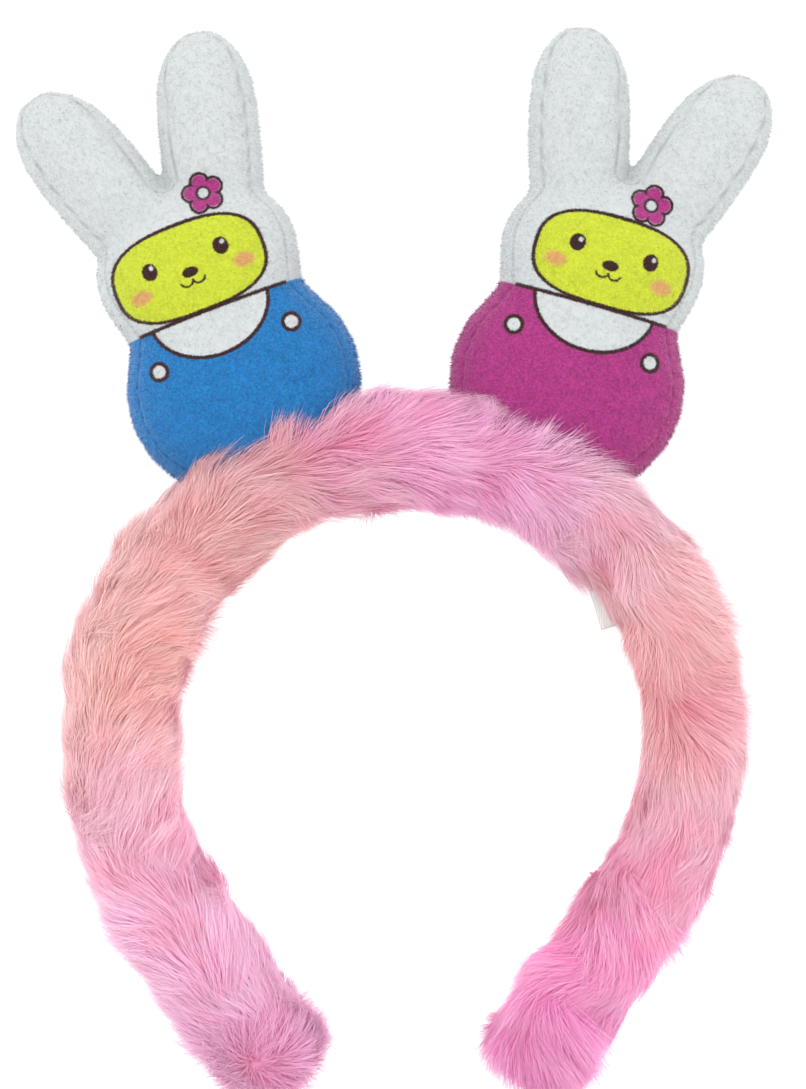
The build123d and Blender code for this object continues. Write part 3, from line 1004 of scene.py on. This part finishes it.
def rabbit(place, cloth, outer, seed):
    """A whole rabbit: its sewn and stuffed cloth, printed in front, and the nap on it."""
    name = place.name
    body = stuffed_rabbit(name, outer)
    away, stitch = crease(body)
    move_vertices(body, place.seated(vertices_of(body)))
    # The seam attribute carries painted shade: how much the colour is darkened in the crease, most at each stitch.
    put_attribute(body, "seam", np.exp(-((away / 0.45) ** 2)) * (0.45 + 0.55 * stitch))
    printed = plush_material(f"{name}_print", cloth, outer)
    plain = plain_plush_material(f"{name}_plain", cloth)
    pieces = []
    for part, side, material in (("front_panel", -1, printed), ("back_panel", 1, plain)):
        made = panel(body, away, f"{name}_sewn_{part}", side, material)
        print_layout(made, vertices_of(made))
        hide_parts(f"{name}_{part}", *([f"{name}_stuffing"] if side > 0 else []))
        pieces.append(made)
    pieces.append(nap(f"{name}_nap", body, seed, count=90000, length=0.9, materials=(printed, plain)))
    bpy.data.objects.remove(body)
    for made in pieces:
        set_down(made, place)
        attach(made, name)


# ---------------------------------------------------------------- small things
def cloth_like(name, colour, scale, amount, **numbers):
    """A plain material for what lies inside: colour with a fibrous grain."""
    m = Nodes(name)
    where = m.node("ShaderNodeTexCoord").outputs["Object"]
    grain = m.noise(where, scale, 4, 0.6)
    dark = tuple(c * 0.8 for c in colour[:3]) + (1.0,)
    m.bump(grain, amount)
    return m.finish(m.mix(m.remap(grain, 0.3, 0.7), dark, colour), **numbers)


def dress_cad_nodes():
    """Materials for the pieces of the design that stay as they are, inside the band."""
    core = cloth_like("moulded_strip", rgb(46, 46, 50), 900, 0.00005, Roughness=0.42)
    foam = cloth_like("wadding", rgb(240, 236, 226), 700, 0.0004, Roughness=0.95)
    pink_thread = cloth_like("pink_thread", rgb(240, 176, 196), 3000, 0.0001, Roughness=0.7)
    white_thread = cloth_like("white_thread", rgb(232, 232, 230), 3000, 0.0001, Roughness=0.7)
    chosen = {"core": core, "foam": foam, "fur_thread": pink_thread, "white_thread": white_thread}
    slots = {s["node"]: s["material_slot"] for s in frame["record"]["subparts"]}
    for node, piece in frame["nodes"].items():
        if slots[node] in chosen:
            piece.data.materials.clear()
            piece.data.materials.append(chosen[slots[node]])


def care_label():
    """A plain sewn-in tape, folded once, that hangs from the inner side of the fur."""
    turn, hang = radians(LABEL_ANGLE), radians(LABEL_ANGLE + 180 + LABEL_TURN)
    root = np.array([sin(turn), 0, cos(turn)]) * LABEL_ROOT
    down = np.array([sin(hang), 0, cos(hang)])
    across = np.array([down[2], 0, -down[0]])
    front = np.array([0.0, -1.0, 0.0])
    rows, columns = 40, 12
    run = np.linspace(0, 2 * LABEL_LENGTH, rows + 1)
    points = []
    for length in run:
        along = min(length, 2 * LABEL_LENGTH - length)
        fold = sin(pi * along / (2 * LABEL_LENGTH))
        side = 1 if length < LABEL_LENGTH else -1
        gap = side * (0.18 + 0.16 * fold) * (1 if abs(length - LABEL_LENGTH) > 0.3 else 0.4)
        for i in range(columns + 1):
            wide = (i / columns - 0.5) * LABEL_WIDTH
            wave = 0.25 * sin(wide * 0.55 + along * 0.3) * fold
            points.append(root + down * along + across * wide + front * (gap + wave))
    points = np.array(points)
    first = np.arange(rows)[:, None] * (columns + 1) + np.arange(columns)[None]
    faces = np.stack([first, first + 1, first + columns + 2, first + columns + 1], -1).reshape(-1, 4)
    m = Nodes("label_tape")
    where = m.node("ShaderNodeTexCoord").outputs["Object"]
    weave = m.node("ShaderNodeTexWave", wave_type="BANDS")
    m.feed(weave.inputs["Vector"], where)
    weave.inputs["Scale"].default_value = 500
    m.bump(weave.outputs["Fac"], 0.00004)
    tape = m.finish(m.mix(weave.outputs["Fac"], rgb(214, 214, 210), rgb(226, 226, 222)), Roughness=0.55)
    made = put_mesh("care_label_tape", points, faces, tape)
    thick = made.modifiers.new("thick", "SOLIDIFY")
    thick.thickness, thick.offset = 0.12 * MM, 0
    modified(made)
    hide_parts("care_label")
    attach(made, "crown")


# ---------------------------------------------------------------- stage
def stage():
    """A white floor under the object, and soft light from all round."""
    low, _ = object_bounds()
    m = Nodes("paper")
    where = m.node("ShaderNodeTexCoord").outputs["Object"]
    m.finish(m.mix(m.noise(where, 3), rgb(250, 250, 250), rgb(252, 252, 252)), Roughness=0.9)
    bpy.ops.mesh.primitive_plane_add(size=8, location=(0, 0, low.z - 0.0005))
    floor = bpy.context.object
    floor.name = "floor"
    floor.data.materials.append(m.material)
    floor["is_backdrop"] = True

    world = bpy.data.worlds.new("studio")
    world.use_nodes = True
    world.node_tree.nodes["Background"].inputs["Color"].default_value = (1, 1, 1, 1)
    world.node_tree.nodes["Background"].inputs["Strength"].default_value = 1.15
    bpy.context.scene.world = world
    lamp("key", (-0.5, -0.9, 0.9), 0.9, 4.5)
    lamp("fill", (0.9, -0.8, 0.3), 0.9, 2.0)
    lamp("rear", (0.2, 1.0, 0.7), 0.9, 4.0)


def lamp(name, place, size, power):
    light = bpy.data.lights.new(name, "AREA")
    light.size, light.energy = size, power
    made = bpy.data.objects.new(name, light)
    made.location = place
    made.rotation_euler = (-Vector(place)).to_track_quat("-Z", "Y").to_euler()
    bpy.context.scene.collection.objects.link(made)


def camera():
    """Straight on from the front, with the band's tips just past the lower edge."""
    distance, middle = 1.1, Vector((-0.0012, 0, 0.0474))
    view_height = 0.2614
    data = bpy.data.cameras.new("camera")
    data.sensor_width = 36
    data.lens = data.sensor_width * distance / view_height
    made = bpy.data.objects.new("camera", data)
    made.location = middle + Vector((0, -distance, 0))
    made.rotation_euler = Euler((pi / 2, 0, 0))
    bpy.context.scene.collection.objects.link(made)
    bpy.context.scene.camera = made
    bpy.context.scene.view_settings.view_transform = "Standard"


# ---------------------------------------------------------------- build
def seat_stretch(place):
    """Two points up a rabbit's own frame, 4 and 17 millimetres above its origin, in metres."""
    start, stop = place.world(np.array([[0, 0, 4.0], [0, 0, 17.0]])) * MM
    return tuple(start), tuple(stop)


def band_fur():
    """The whole sleeve: a middle, two stretches by the rabbits and two arms."""
    fur = Fur()
    centre, seat_end = 5.0, RING * radians(50)  # where the pieces of fur end, along the band
    end = HALF_BAND + GROUND_TIP
    strands = FUR_PIECE_STRANDS
    middle = fur.piece("fur_pile_middle", 101, strands // 3, -centre, centre)
    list(seat_stretch(PLACES[1]))
    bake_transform(middle)
    felt = fur.felt("fur_felt_crown", -seat_end, seat_end)
    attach(felt, "crown")
    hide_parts("fur_sleeve_crown")
    for side, arm, place in ((-1, "left_arm", PLACES[0]), (1, "right_arm", PLACES[1])):
        low, high = sorted((side * centre, side * seat_end))
        by_seat = fur.piece(f"fur_pile_by_{place.name}", 110 + side, strands, low, high)
        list(seat_stretch(place))
        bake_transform(by_seat)
        cuts = np.linspace(seat_end, end, 4)
        stretches = list(zip(("upper", "middle", "lower"), cuts, cuts[1:], (120, 130, 140)))
        for part, near, far, seed in stretches:
            low, high = sorted((side * near, side * far))
            pile = fur.piece(f"fur_pile_{arm}_{part}", seed + side, strands, low, high)
            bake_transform(pile)
        low, high = sorted((side * seat_end, side * end))
        felt = fur.felt(f"fur_felt_{arm}", low, high)
        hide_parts(f"fur_sleeve_{arm}")
        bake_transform(felt)


band_fur()
rabbit(PLACES[0], PRINT_BLUE, -1, 201)
rabbit(PLACES[1], PRINT_MAGENTA, 1, 202)
care_label()
dress_cad_nodes()
stage()
camera()
